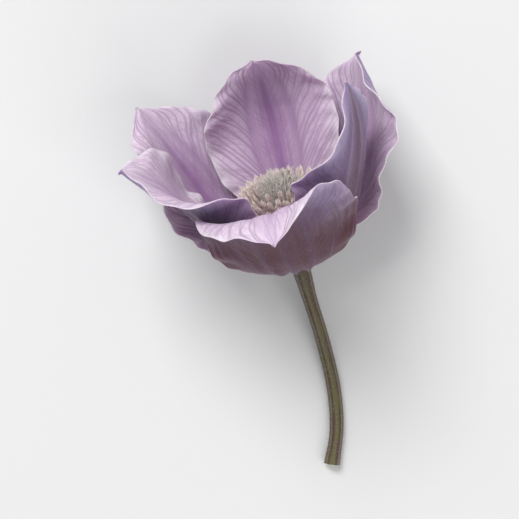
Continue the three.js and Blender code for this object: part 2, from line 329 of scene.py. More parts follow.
# Young green stem, ridged as grown: a waxy skin with a low sheen, flushed maroon along the ridges.
def makeStem(name, look):
    material, tree, shader = startMaterial(name, look["surface"])
    spots = addNode(tree, "ShaderNodeTexCoord", output="Object")
    patches = noiseNode(tree, spots, look["patchSize"] * mm, look["patchDetail"])
    grain = noiseNode(tree, spots, look["grainSize"] * mm, look["grainDetail"])
    marks = {
        mark: addNode(tree, "ShaderNodeAttribute", output="Fac", attribute_name=mark)
        for mark in ("ridge", "collar", "crown", "cut")
    }
    red = mathNode(tree, "MULTIPLY_ADD", marks["ridge"], look["flushOnRidge"], patches)
    flush = rangeNode(tree, red, *look["flushRange"])
    collar = mathNode(tree, "MULTIPLY", marks["collar"], look["collarShare"])
    layTones(tree, shader, hexColour(look["green"]), (
        (flush, look["flush"]), (collar, look["collar"]), (marks["crown"], look["crown"]),
        (marks["cut"], look["cut"]),
    ))
    relief = {"Strength": look["grainRelief"], "Distance": look["grainDepth"] * mm, "Height": grain}
    tree.links.new(addNode(tree, "ShaderNodeBump", relief), shader.inputs["Normal"])
    return material


threadBase = {
    "surface": {
        "Roughness": 0.55, "IOR": 1.4, "Sheen Roughness": 0.4,
        "Subsurface Weight": 0.15, "Subsurface Scale": 0.5 * mm, "Subsurface Radius": (1.0, 0.9, 0.7),
    },
    "grainDetail": 3.0, "blendFrom": 0.35, "blendFull": 0.65,  # where the noise goes from tone to tone
}
threadLooks = {
    # Smooth and full of sap, so it looks soft and creamy.
    "filament": {"name": "stamen thread, cream white", "tones": ("#e6dfd2", "#cdbfc4"),
                 "grain": 1.5, "sheen": 0.2},
    # Pollen makes it mealy and dull, with pinkish seams.
    "anther": {"name": "anther with pollen, pale cream", "tones": ("#e3d6cb", "#bfa7a4"),
               "grain": 0.45, "sheen": 0.3},
    # Silky along its whole length, so its edge is lighter than its middle.
    "style": {"name": "style, silky green-white", "tones": ("#d3d0c6", "#b9b3a8"),
              "grain": 1.2, "sheen": 0.5},
    # Hairs too fine to tell apart, which catch the light as a pale haze.
    "silk": {"name": "style silk, cream white", "tones": ("#e3ddd8", "#cdc4be"),
             "grain": 0.6, "sheen": 0.6},
    # Short hairs that grey the petals' outsides and the stalk.
    "down": {"name": "plant down, silver", "tones": ("#b3a5b8", "#958499"),
             "grain": 0.5, "sheen": 0.4},
}


# Soft plant threads and hairs: two tones mixed by a fine noise, matt, with a silky edge.
def makeThread(look, base):
    surface = {**base["surface"], "Sheen Weight": look["sheen"]}
    material, tree, shader = startMaterial(look["name"], surface)
    spots = addNode(tree, "ShaderNodeTexCoord", output="Object")
    tones = noiseNode(tree, spots, look["grain"] * mm, base["grainDetail"])
    share = rangeNode(tree, tones, base["blendFrom"], base["blendFull"], 0.0, 1.0)
    first, second = look["tones"]
    layTones(tree, shader, hexColour(first), ((share, second),))
    return material


petalFace = makePetalFace("petal skin, velvety lilac", petalFaceLook)
petalBacks = {
    "inner": makePetalBack("petal outside, downy blue-violet", petalBackLook),
    # The outer layer's outsides carry more painted shade near the claw.
    "outer": makePetalBack("petal outside, downy maroon-violet", outerBackShadedLook),
}
stemSkin = makeStem("young stem skin, waxy", stemLook)
threadSkins = {kind: makeThread(look, threadBase) for kind, look in threadLooks.items()}
print("materials made")

hairSizes = {"Shortest": 0.55, "Longest": 1.15}  # a hair's limits, as shares of its kind's Length

# Along a blade, shares run from 0 at the claw to 1 at the tip, and across it from 0 at the midrib to 1 at
# the margin. Pairs are where something starts and is full, or the limits of a random draw.
tepalSizes = {
    "length": 26, "clawRadius": 3.75,
    "rows": 200, "columns": 140, "crowding": 0.35,  # crowding brings the columns closer at the margins
    # Half the blade's width, as a share of its greatest, from the claw to the pointed tip.
    "outline": (
        (0, 0.2), (0.1, 0.42), (0.25, 0.78), (0.45, 1), (0.65, 0.97), (0.82, 0.68), (0.93, 0.3), (1, 0.05),
    ),
    "pointFrom": 0.955, "pointWidth": 0.16,
    "rootSink": 0.06,  # how far a blade goes on into the receptacle, as a share of its length
    "rootNarrowing": 0.4,
    "midribSteps": 960,
    "openEnd": 0.34,  # where the midrib has turned from its angle at the claw to the middle one
    "tipStart": 0.42, "twistFrom": 0.5,
    "flatterFrom": 0.55, "flatterBy": 0.75,  # the curl across a blade opens towards its tip
    # Thickness either side of the middle surface. It thins towards margin and tip, and so does the relief.
    "frontHalf": 0.19, "backHalf": 0.31, "marginHalf": 0.065,
    "thinFrom": 0.5, "thinTipFrom": 0.86, "thinRelief": 0.6,
    "ribs": {
        "height": 0.34, "halfWidth": 0.075, "grooveDepth": 0.16,
        "sideAt": 0.3, "sideShare": 0.8, "fade": (0.72, 0.98),
        "mark": 0.75,  # how strongly a rib is coloured as a vein
    },
    # Waves swing the margin, crinkles are finer ones near it, ragged notches its outline, and puckers are
    # low swellings all over. Phases are radians, and otherMargin is how far one margin is ahead.
    "waves": {
        "turns": 2.1, "otherMargin": 1.7, "marginFrom": 0.35, "grow": (0.2, 0.5),
        "tipFrom": 0.85, "tipLoss": 0.5,
    },
    "crinkles": {
        "height": 0.2, "turns": 8.5, "phaseShare": 5, "marginFrom": 0.62, "grow": (0.12, 0.3),
        "tipFrom": 0.9, "wander": 0.8, "wanderTurns": 1.7, "wanderPhase": 2,
    },
    "ragged": {"share": 0.012, "turns": 5.3, "phaseShare": 3, "marginFrom": 0.7},
    "puckers": {"height": 0.07, "size": 3.0, "grow": (0.1, 0.25), "waves": 7, "spread": (0.7, 1.5)},
    "veins": {
        "height": 0.06, "depth": 0.055, "halfWidth": 0.115,
        "weakest": 0.55, "widening": 0.45,  # the share of that width a vein has, and what strength adds
        "marginFrom": 0.88, "marginLoss": 0.75,
        "points": 14, "lastRoot": 0.84,
        # An arc runs from a side rib to the margin, forks leave it, ties join it to the next one, inner
        # veins fill the space between midrib and side rib, and a rail runs beside the midrib.
        "arc": {
            "from": 0.015, "step": 0.047, "shift": (-0.012, 0.012),
            "rise": 0.44, "riseLoss": 0.62, "riseShift": (-0.02, 0.02),
            "bendAlong": (0.78, 0.92), "bendAcross": (1.15, 1.4),
            "wobble": 0.005, "wobbleTurns": 11, "wobbleStart": (0, 6), "strength": (0.75, 1.0),
        },
        "fork": {
            "count": 2, "points": (3, 11), "reach": (0.5, 0.95), "rise": 0.07, "riseShift": (-0.02, 0.03),
            "bendAlong": 0.9, "bendAcross": 1.25, "strength": (0.4, 0.65),
        },
        "tie": {"count": 5, "points": (2, 12), "skew": (-2, 2), "steps": 4, "strength": 0.38},
        "inner": {
            "from": 0.05, "step": 0.06, "shift": (-0.02, 0.02), "rise": 0.15,
            "bendAlong": 0.9, "bendAcross": 1.2, "strength": (0.35, 0.6),
        },
        "rail": {"at": 0.16, "narrowing": 0.05, "wobble": 0.008, "wobbleTurns": 17, "strength": 0.6},
    },
    "layers": {
        "inner": {"halfWidth": 9.6, "clawHeight": 0.75, "clawAngle": 66, "curl": 0.084},
        "outer": {"halfWidth": 10.3, "clawHeight": -0.5, "clawAngle": 82, "curl": 0.05},
    },
    # Around is counted from the side that faces the sky, towards +X. Middle and tip are the angles between
    # the midrib and the axis of the cup, twist turns the tip, and wave is how far the margin swings either
    # way. The blade whose tip folds back outside the cup has its own bend, in place of tipStart.
    "blades": {
        "tepal_1": {"around": 57, "layer": "inner", "middle": 22, "tip": 2, "twist": 10,
                    "wave": 0.9, "phase": 0.4},
        "tepal_2": {"around": 118, "layer": "outer", "middle": 31, "tip": 4, "twist": -14,
                    "wave": 1.2, "phase": 1.9},
        "tepal_3": {"around": 172, "layer": "inner", "middle": 25, "tip": -42, "twist": 12,
                    "wave": 0.9, "phase": 3.1},
        "tepal_4": {"around": 233, "layer": "outer", "middle": 27, "tip": 26, "twist": 10,
                    "wave": 1.1, "phase": 3.4},
        "tepal_5": {"around": 293, "layer": "inner", "middle": 28, "tip": 46, "twist": -12,
                    "wave": 1.0, "phase": 5.2},
        "tepal_6": {"around": 353, "layer": "outer", "middle": 25, "tip": 126, "bend": 0.56, "twist": 14,
                    "wave": 1.2, "phase": 0.9},
    },
    "surfaceSeed": 100,
    # Where the outside is downy: everywhere a little, more on the ribs and near the claw.
    "downLeast": 0.25, "downOnRibs": 0.75, "downAtClaw": 0.5, "clawDownEnd": 0.35,
    "down": {
        **hairSizes, "Density": 5e6, "Length": 0.32 * mm, "Thickness": 0.016 * mm, "Lean": 0.9,
        "Hair Material": threadSkins["down"],
    },
    "downSeed": 11,
}


# Points on a smooth curve through the knots, the same curve as the outline of the CAD blade.
def splineTable(points, steps=1600):
    knots = np.array(points, float)
    place = np.linspace(0, len(knots) - 1, steps)
    start = np.minimum(place.astype(int), len(knots) - 2)
    weight = (place - start)[:, None]
    before = knots[np.maximum(start - 1, 0)]
    first, second = knots[start], knots[start + 1]
    after = knots[np.minimum(start + 2, len(knots) - 1)]
    leave, arrive = (second - before) / 2, (after - first) / 2
    cubic = (2 * first - 2 * second + leave + arrive) * weight ** 3
    return cubic + (-3 * first + 3 * second - 2 * leave - arrive) * weight ** 2 + leave * weight + first


outlineTable = splineTable(tepalSizes["outline"])


def widthShare(s):
    pointed = 1 - (1 - tepalSizes["pointWidth"]) * smooth(tepalSizes["pointFrom"], 1, s)
    rooted = 1 - tepalSizes["rootNarrowing"] * smooth(0, tepalSizes["rootSink"], -s)
    return np.interp(s, outlineTable[:, 0], outlineTable[:, 1]) * pointed * rooted


# The midrib at each s: distance from the axis, height and angle to the axis. Under 0 it is in the receptacle.
def midrib(tepal, s):
    length, steps = tepalSizes["length"], tepalSizes["midribSteps"]
    tipStart = tepal.get("bend", tepalSizes["tipStart"])

    def angleAt(x):
        toMiddle = (tepal["middle"] - tepal["clawAngle"]) * smooth(0, tepalSizes["openEnd"], x)
        toTip = (tepal["tip"] - tepal["middle"]) * smooth(tipStart, 1, x)
        return np.radians(tepal["clawAngle"] + toMiddle + toTip)

    angles = angleAt((np.arange(steps) + 0.5) / steps)
    stride = length / steps
    ends = np.arange(steps + 1) / steps
    distance = tepalSizes["clawRadius"] + np.append(0, np.cumsum(stride * np.sin(angles)))
    height = tepal["clawHeight"] + np.append(0, np.cumsum(stride * np.cos(angles)))
    sunk, slope = np.minimum(s, 0) * length, math.radians(tepal["clawAngle"])
    distanceAt = np.interp(s, ends, distance) + sunk * math.sin(slope)
    return distanceAt, np.interp(s, ends, height) + sunk * math.cos(slope), angleAt(s)


def ribShare(s, t, ribs):
    def bump(at):
        return np.exp(-((t - at) / ribs["halfWidth"]) ** 2)

    side, share = ribs["sideAt"], ribs["sideShare"]
    return (bump(0) + share * bump(side) + share * bump(-side)) * (1 - smooth(*ribs["fade"], s))


# Fine veins as lines in s and t, each with its strength. They leave the side ribs at a narrow angle, bend
# out to the margin and fork on the way, and weaker ones tie them together into a net.
def veinLines(draw, sizes, side):
    arc, fork, tie, inner, rail = (sizes[kind] for kind in ("arc", "fork", "tie", "inner", "rail"))
    lines = []
    q = np.linspace(0, 1, sizes["points"])
    for sign in (-1, 1):
        arcs = []
        for start in np.arange(arc["from"], sizes["lastRoot"], arc["step"]):
            root = start + draw.uniform(*arc["shift"])
            rise = arc["rise"] * (1 - arc["riseLoss"] * root) + draw.uniform(*arc["riseShift"])
            climb = rise * q ** draw.uniform(*arc["bendAlong"])
            wobble = arc["wobble"] * np.sin(q * arc["wobbleTurns"] + draw.uniform(*arc["wobbleStart"]))
            s = root + climb + wobble
            t = sign * (side + (1 - side) * q ** draw.uniform(*arc["bendAcross"]))
            arcs.append((s, t))
            lines.append((s, t, draw.uniform(*arc["strength"])))
            for at in draw.choice(np.arange(*fork["points"]), fork["count"], replace=False):
                reach = (1 - abs(t[at])) * draw.uniform(*fork["reach"])
                forkS = s[at] + (fork["rise"] + draw.uniform(*fork["riseShift"])) * q ** fork["bendAlong"]
                forkT = t[at] + sign * reach * q ** fork["bendAcross"]
                lines.append((forkS, forkT, draw.uniform(*fork["strength"])))
        for (lowS, lowT), (highS, highT) in zip(arcs, arcs[1:]):
            for _ in range(tie["count"]):
                a = draw.integers(*tie["points"])
                b = min(len(q) - 1, max(0, a + draw.integers(*tie["skew"])))
                tieS = np.linspace(lowS[a], highS[b], tie["steps"])
                lines.append((tieS, np.linspace(lowT[a], highT[b], tie["steps"]), tie["strength"]))
        for start in np.arange(inner["from"], sizes["lastRoot"], inner["step"]):
            root = start + draw.uniform(*inner["shift"])
            innerS = root + inner["rise"] * q ** inner["bendAlong"]
            innerT = sign * side * q ** inner["bendAcross"]
            lines.append((innerS, innerT, draw.uniform(*inner["strength"])))
        fromRib = rail["at"] - rail["narrowing"] * q + rail["wobble"] * np.sin(q * rail["wobbleTurns"])
        lines.append((q, sign * fromRib, rail["strength"]))
    return lines


# How strongly the veins mark each point of the blade, from 0 to 1. Distances are in millimetres on the
# flat blade, and each line only reaches the points near it.
def veinField(tepal, s, t, draw):
    sizes, length = tepalSizes["veins"], tepalSizes["length"]
    nearAlong, nearAcross = 0.02, 0.12
    flatX, flatY = t * tepal["halfWidth"] * widthShare(s), s * length
    field = np.zeros_like(s)
    for lineS, lineT, strength in veinLines(draw, sizes, tepalSizes["ribs"]["sideAt"]):
        lineS = np.clip(lineS, 0, 1)
        x, y = lineT * tepal["halfWidth"] * widthShare(lineS), lineS * length
        rows = np.nonzero((s[:, 0] > lineS.min() - nearAlong) & (s[:, 0] < lineS.max() + nearAlong))[0]
        columns = np.nonzero((t[0] > lineT.min() - nearAcross) & (t[0] < lineT.max() + nearAcross))[0]
        part = np.s_[rows[0]:rows[-1] + 1, columns[0]:columns[-1] + 1]
        px, py = flatX[part][..., None], flatY[part][..., None]
        dx, dy = np.diff(x), np.diff(y)
        squared = np.maximum(dx * dx + dy * dy, 1e-9)  # never 0, for the division
        along = np.clip(((px - x[:-1]) * dx + (py - y[:-1]) * dy) / squared, 0, 1)
        apart = np.hypot(px - x[:-1] - along * dx, py - y[:-1] - along * dy).min(axis=-1)
        wide = sizes["halfWidth"] * (sizes["weakest"] + sizes["widening"] * strength)
        field[part] = np.maximum(field[part], strength * np.exp(-(apart / wide) ** 2))
    return field * (1 - sizes["marginLoss"] * smooth(sizes["marginFrom"], 1, np.abs(t)))


# Smooth waves of a few sizes, the same on every run.
def rollingNoise(x, y, draw, sizes):
    total = np.zeros_like(x)
    for _ in range(sizes["waves"]):
        turn, shift = draw.uniform(0, 2 * math.pi, 2)
        scale = 2 * math.pi / (sizes["size"] * draw.uniform(*sizes["spread"]))
        total += np.sin(scale * (x * math.cos(turn) + y * math.sin(turn)) + shift)
    return total / sizes["waves"]


# The middle surface of a blade in the bloom's frame: a curled sheet with waves, crinkles and puckers.
def bladeSurface(tepal, s, t, draw):
    sizes, phase = tepalSizes, tepal["phase"]
    distance, height, angle = midrib(tepal, s)
    margin, fullTurn = np.abs(t), 2 * math.pi
    curl = tepal["curl"] * (1 - sizes["flatterBy"] * smooth(sizes["flatterFrom"], 1, s))
    ragged = sizes["ragged"]
    notches = np.sin(fullTurn * ragged["turns"] * s + phase * ragged["phaseShare"] + (t > 0))
    notches = notches * smooth(ragged["marginFrom"], 1, margin)
    across = t * tepal["halfWidth"] * widthShare(s) * (1 + ragged["share"] * notches)
    side, hollow = np.sin(curl * across) / curl, (1 - np.cos(curl * across)) / curl
    waves = sizes["waves"]
    swing = smooth(waves["marginFrom"], 1, margin) * smooth(*waves["grow"], s)
    swing = swing * (1 - waves["tipLoss"] * smooth(waves["tipFrom"], 1, s))
    start = phase + np.where(t > 0, waves["otherMargin"], 0)
    lift = hollow + tepal["wave"] * swing * np.sin(fullTurn * waves["turns"] * s + start)
    fine = sizes["crinkles"]
    grown = smooth(fine["marginFrom"], 1, margin) * smooth(*fine["grow"], s)
    grown = grown * (1 - smooth(fine["tipFrom"], 1, s))
    wander = fine["wander"] * np.sin(fullTurn * fine["wanderTurns"] * s + start * fine["wanderPhase"])
    turning = fullTurn * fine["turns"] * s + start * fine["phaseShare"] + wander
    lift += fine["height"] * grown * np.sin(turning)
    puckers = sizes["puckers"]
    rolling = rollingNoise(across, s * sizes["length"], draw, puckers)
    lift += puckers["height"] * smooth(*puckers["grow"], s) * rolling
    turn = np.radians(tepal["twist"]) * smooth(sizes["twistFrom"], 1, s)
    turnedSide = side * np.cos(turn) - lift * np.sin(turn)
    turnedLift = side * np.sin(turn) + lift * np.cos(turn)
    radial = distance - turnedLift * np.cos(angle)
    upright = height + turnedLift * np.sin(angle)
    around = math.radians(tepal["around"])
    x = radial * math.cos(around) - turnedSide * math.sin(around)
    y = radial * math.sin(around) + turnedSide * math.cos(around)
    return np.stack([x, y, upright], axis=-1)


# Faces of a closed blade: the front grid, the back grid behind it and a rim that joins them.
def bladeFaces(rows, columns):
    index = np.arange(rows * columns).reshape(rows, columns)
    a, b = index[:-1, :-1].ravel(), index[:-1, 1:].ravel()
    c, d = index[1:, 1:].ravel(), index[1:, :-1].ravel()
    behind = rows * columns
    front = np.stack([a, d, c, b], axis=1)
    back = np.stack([a, b, c, d], axis=1) + behind
    rim = []
    for line, flip in ((index[:, 0], False), (index[:, -1], True), (index[0], True), (index[-1], False)):
        low, high = line[:-1], line[1:]
        quad = np.stack([low, low + behind, high + behind, high], axis=1)
        rim.append(quad[:, ::-1] if flip else quad)
    return front, back, np.concatenate(rim)


def buildTepal(name, tepal, number):
    sizes, ribs, veinSizes = tepalSizes, tepalSizes["ribs"], tepalSizes["veins"]
    draw = np.random.default_rng(sizes["surfaceSeed"] + number)
    rows, columns, crowding = sizes["rows"], sizes["columns"], sizes["crowding"]
    steps = np.linspace(-1, 1, columns)
    steps = np.sin(steps * math.pi / 2) * crowding + steps * (1 - crowding)
    s, t = np.meshgrid(np.linspace(-sizes["rootSink"], 1, rows), steps, indexing="ij")
    surface = bladeSurface(tepal, s, t, draw)
    inwards = np.cross(np.gradient(surface, axis=0), np.gradient(surface, axis=1))
    inwards /= np.linalg.norm(inwards, axis=-1, keepdims=True)
    rib, veins = ribShare(s, t, ribs), veinField(tepal, s, t, draw)
    thin = np.maximum(smooth(sizes["thinFrom"], 1, np.abs(t)), smooth(sizes["thinTipFrom"], 1, s))
    relief = 1 - thin * sizes["thinRelief"]
    frontLift = sizes["frontHalf"] * (1 - thin) + sizes["marginHalf"] * thin
    frontLift -= ribs["grooveDepth"] * rib + veinSizes["depth"] * veins * relief
    backLift = sizes["backHalf"] * (1 - thin) + sizes["marginHalf"] * thin
    backLift += ribs["height"] * rib + veinSizes["height"] * veins * relief
    front = surface + inwards * frontLift[..., None]
    back = surface - inwards * backLift[..., None]
    points = np.concatenate([front.reshape(-1, 3), back.reshape(-1, 3)]) * mm
    placed = points @ np.array((skyward, level, axis)) + np.array(heart)
    frontFaces, backFaces, rimFaces = bladeFaces(rows, columns)
    faces = np.concatenate([frontFaces, rimFaces, backFaces])
    mesh = bpy.data.meshes.new(name + "_blade")
    mesh.from_pydata(placed.tolist(), [], faces.tolist())
    corner = np.empty(len(mesh.loops), int)
    mesh.loops.foreach_get("vertex_index", corner)
    flat = np.stack([(t.ravel() + 1) / 2, np.maximum(s, 0).ravel()], axis=1)
    flatCorners = np.tile(flat, (2, 1))[corner]
    mesh.uv_layers.new(name="blade").data.foreach_set("uv", flatCorners.ravel().astype(np.float32))
    backDown = sizes["downLeast"] + sizes["downOnRibs"] * np.minimum(rib, 1)
    backDown = backDown + sizes["downAtClaw"] * (1 - smooth(0, sizes["clawDownEnd"], s))
    backDown = np.where(s < 0, 0, backDown)
    marked = np.maximum(veins, ribs["mark"] * rib)
    markPoints(mesh, {"veins": np.stack([marked, marked]), "down": np.stack([np.zeros_like(s), backDown])})
    mesh.materials.append(petalFace)
    mesh.materials.append(petalBacks[tepal["layer"]])
    looks = np.zeros(len(faces), np.int32)
    looks[len(frontFaces) + len(rimFaces):] = 1
    mesh.polygons.foreach_set("material_index", looks)
    mesh.polygons.foreach_set("use_smooth", np.ones(len(faces), bool))
    mesh.update()
    piece = addPiece(name + "_blade", mesh)
    keepAboveSurface(piece)
    return piece


# Starts a Geometry Nodes tree with named inputs, and gives its inputs by name and its output node.
def startTree(name, sockets):
    tree = bpy.data.node_groups.new(name, "GeometryNodeTree")
    for label, kind in (("Geometry", "Geometry"), *sockets):
        tree.interface.new_socket(label, in_out="INPUT", socket_type="NodeSocket" + kind)
    tree.interface.new_socket("Geometry", in_out="OUTPUT", socket_type="NodeSocketGeometry")
    given = addNode(tree, "NodeGroupInput").node
    return tree, {socket.name: socket for socket in given.outputs}, addNode(tree, "NodeGroupOutput")


# Puts a copy of a shape on each point and joins them to the piece's own geometry.
def addCopies(tree, own, points, shape, turn, size):
    placed = {"Points": points, "Instance": shape, "Rotation": turn, "Scale": size}
    copies = addNode(tree, "GeometryNodeInstanceOnPoints", placed)
    joined = addNode(tree, "GeometryNodeJoinGeometry", {0: copies})
    tree.links.new(own, joined.node.inputs[0])
    return joined


# Ends a tree: makes copies real, and sets each material on the faces that its mark names, or on all.
def endTree(tree, result, geometry, materials):
    dressed = addNode(tree, "GeometryNodeRealizeInstances", {"Geometry": geometry})
    for material, mark in materials:
        inputs = {"Geometry": dressed, "Material": material}
        if mark:
            inputs["Selection"] = markNode(tree, mark, "BOOLEAN")
        dressed = addNode(tree, "GeometryNodeSetMaterial", inputs)
    tree.links.new(dressed, result.inputs[0])
    return tree


# Runs a tree on a piece, its inputs set by identifier, and keeps the result as a plain mesh.
def growWith(piece, tree, values):
    modifier = piece.modifiers.new(tree.name, "NODES")
    modifier.node_group = tree
    for item in tree.interface.items_tree:
        if item.item_type == "SOCKET" and item.in_out == "INPUT" and item.name in values:
            modifier[item.identifier] = values[item.name]
    bpy.context.view_layer.update()
    graph = bpy.context.evaluated_depsgraph_get()
    grown = piece.evaluated_get(graph)
    mesh = bpy.data.meshes.new_from_object(grown, preserve_all_data_layers=True, depsgraph=graph)
    piece.modifiers.remove(modifier)
    old = piece.data
    piece.data = mesh
    bpy.data.meshes.remove(old)
    mesh.name = piece.name


# Down: thin hairs that lean over, scattered by the "down" attribute and joined to the piece they grow on.
# Shortest and Longest are shares of Length, and Lean is in radians.
def makeDownTree():
    tree, given, result = startTree("downyHairs", (
        ("Density", "Float"), ("Length", "Float"), ("Thickness", "Float"), ("Shortest", "Float"),
        ("Longest", "Float"), ("Lean", "Float"), ("Seed", "Int"), ("Hair Material", "Material"),
    ))
    density = mathNode(tree, "MULTIPLY", given["Density"], markNode(tree, "down"))
    scattered = {"Mesh": given["Geometry"], "Density": density, "Seed": given["Seed"]}
    points = addNode(tree, "GeometryNodeDistributePointsOnFaces", scattered).node.outputs
    cone = addNode(tree, "GeometryNodeMeshCone", {
        "Vertices": 3, "Side Segments": 1, "Radius Top": 0.0, "Radius Bottom": given["Thickness"],
        "Depth": given["Length"],
    }, "Mesh", fill_type="NGON")
    hair = addNode(tree, "GeometryNodeStoreNamedAttribute", {
        "Geometry": cone, "Name": "hairPart", "Value": True,
    }, data_type="BOOLEAN", domain="FACE")
    back = mathNode(tree, "MULTIPLY", given["Lean"], -1.0)
    least = addNode(tree, "ShaderNodeCombineXYZ", {0: back, 1: back, 2: -math.pi})
    most = addNode(tree, "ShaderNodeCombineXYZ", {0: given["Lean"], 1: given["Lean"], 2: math.pi})
    lean = addNode(tree, "FunctionNodeRandomValue", {0: least, 1: most, "Seed": given["Seed"]},
                   data_type="FLOAT_VECTOR")
    turned = addNode(tree, "FunctionNodeRotateRotation", {"Rotation": points["Rotation"], "Rotate By": lean},
                     rotation_space="LOCAL")
    limits = {2: given["Shortest"], 3: given["Longest"], "Seed": given["Seed"]}
    size = addNode(tree, "FunctionNodeRandomValue", limits, 1, data_type="FLOAT")
    grown = addCopies(tree, given["Geometry"], points["Points"], hair, turned, size)
    return endTree(tree, result, grown, ((given["Hair Material"], "hairPart"),))


downTree = makeDownTree()
tepalPieces = []
for number, (name, blade) in enumerate(tepalSizes["blades"].items()):
    tepal = {**tepalSizes["layers"][blade["layer"]], **blade}
    piece = buildTepal(name, tepal, number)
    growWith(piece, downTree, {**tepalSizes["down"], "Seed": tepalSizes["downSeed"] + number})
    keepAboveSurface(piece)
    declarePiece(piece, name)
    tepalPieces.append(piece)
print("tepals made:", [len(piece.data.polygons) for piece in tepalPieces], "faces")

# Along the stalk, shares run from 0 behind the receptacle to 1 at the cut end. Depths are millimetres under
# the top of the receptacle.
stalkSizes = {
    "route": ((8.4, -11.1, 1.9), (9.8, -17.3, 0.82), (10.1, -22.3, 0.77), (9.5, -26.8, 0.78)),
    "behindHeart": (1.6, 3, 7.2),  # points of the route on the axis of the cup, before it bends down
    "routePoints": 150,
    "top": 1.5,
    # Depth and radius, from the low dome inside the cup to the neck.
    "receptacle": (
        (0, 1.9), (0.1, 2.45), (0.3, 2.75), (0.7, 2.93), (1.1, 2.98), (1.5, 2.98), (1.9, 2.92),
        (2.3, 2.74), (2.7, 2.44), (3.1, 2.12), (3.5, 1.8), (4.0, 1.5), (4.5, 1.3), (5.2, 1.17),
    ),
    "domeRings": ((0, 0.5, 10), (0.6, 3.0, 24)),  # first depth, last depth and how many rings
    "neckFrom": 3.0,  # the depth at which the stalk starts, hidden in the receptacle
    "neckRadius": 1.15, "stalkRadius": 0.85, "slimming": (0.02, 0.28),
    "cutEndFlare": 0.12, "flareFrom": 0.9,
    # The rounded cut end: distance past the end, share of the radius, and how much of it is bare pith.
    "cutEnd": ((0.03, 0.985, 0), (0.06, 0.93, 0.35), (0.08, 0.8, 1), (0.095, 0.55, 0.55), (0.105, 0.3, 1),
               (0.11, 0.04, 1)),
    "ridgeHeight": 0.07, "ridges": 6, "sides": 60,
    # The depths over which the ridges and the marks for colour come and go.
    "ridgesGrow": (3.0, 5.0),
    "collarGrows": (0.3, 0.9), "collarFades": (2.4, 10.0), "crownFades": (0.1, 0.7),
    "down": {
        **hairSizes, "Density": 9e6, "Length": 0.42 * mm, "Thickness": 0.02 * mm, "Lean": 0.7, "Seed": 5,
        "Hair Material": threadSkins["down"],
    },
}


# A centripetal Catmull-Rom curve through the points, evenly spaced by length.
def pathThrough(points, count, samplesEach=60):
    points = [np.array(p, float) for p in points]
    points = [2 * points[0] - points[1], *points, 2 * points[-1] - points[-2]]
    samples = []
    for p0, p1, p2, p3 in zip(points, points[1:], points[2:], points[3:]):
        k1 = np.linalg.norm(p1 - p0) ** 0.5
        k2 = k1 + np.linalg.norm(p2 - p1) ** 0.5
        k3 = k2 + np.linalg.norm(p3 - p2) ** 0.5
        k = np.linspace(k1, k2, samplesEach)[:, None]
        a1 = (k1 - k) / k1 * p0 + k / k1 * p1
        a2 = (k2 - k) / (k2 - k1) * p1 + (k - k1) / (k2 - k1) * p2
        a3 = (k3 - k) / (k3 - k2) * p2 + (k - k2) / (k3 - k2) * p3
        b1 = (k2 - k) / k2 * a1 + k / k2 * a2
        b2 = (k3 - k) / (k3 - k1) * a2 + (k - k1) / (k3 - k1) * a3
        samples.append((k2 - k) / (k2 - k1) * b1 + (k - k1) / (k2 - k1) * b2)
    line = np.concatenate(samples)
    reach = np.append(0, np.cumsum(np.linalg.norm(np.diff(line, axis=0), axis=1)))
    wanted = np.linspace(0, reach[-1], count)
    return np.stack([np.interp(wanted, reach, line[:, i]) for i in range(3)], axis=1), wanted


# Sweeps a round along the path and raises ridges on it. The path's points carry their radius and marks.
def makeStemTree():
    tree, given, result = startTree("ridgedStem", (
        ("Sides", "Int"), ("Ridges", "Float"), ("Ridge Height", "Float"), ("Skin", "Material"),
    ))
    thick, ridge, ridged = (markNode(tree, name) for name in ("thick", "ridge", "ridged"))
    curve = addNode(tree, "GeometryNodeMeshToCurve", {"Mesh": given["Geometry"]})
    sized = addNode(tree, "GeometryNodeSetCurveRadius", {"Curve": curve, "Radius": thick})
    upright = addNode(tree, "GeometryNodeSetCurveNormal", {"Curve": sized})
    ring = addNode(tree, "GeometryNodeCurvePrimitiveCircle", {"Resolution": given["Sides"], "Radius": 1.0})
    share = addNode(tree, "GeometryNodeSplineParameter", output="Factor")
    turns = mathNode(tree, "MULTIPLY", share, given["Ridges"])
    angle = mathNode(tree, "MULTIPLY", turns, 2 * math.pi)
    swell = mathNode(tree, "COSINE", angle)
    marked = addNode(tree, "GeometryNodeStoreNamedAttribute", {
        "Geometry": ring, "Name": "ridge", "Value": swell,
    }, data_type="FLOAT", domain="POINT")
    sweep = {"Curve": upright, "Profile Curve": marked, "Scale": thick, "Fill Caps": True}
    swept = addNode(tree, "GeometryNodeCurveToMesh", sweep)
    raised = mathNode(tree, "MULTIPLY", ridge, ridged)
    height = mathNode(tree, "MULTIPLY", raised, given["Ridge Height"])
    outward = addNode(tree, "GeometryNodeInputNormal")
    push = addNode(tree, "ShaderNodeVectorMath", {0: outward, "Scale": height}, operation="SCALE")
    moved = addNode(tree, "GeometryNodeSetPosition", {"Geometry": swept, "Offset": push})
    rounded = addNode(tree, "GeometryNodeSetShadeSmooth", {"Geometry": moved})
    return endTree(tree, result, rounded, ((given["Skin"], None),))


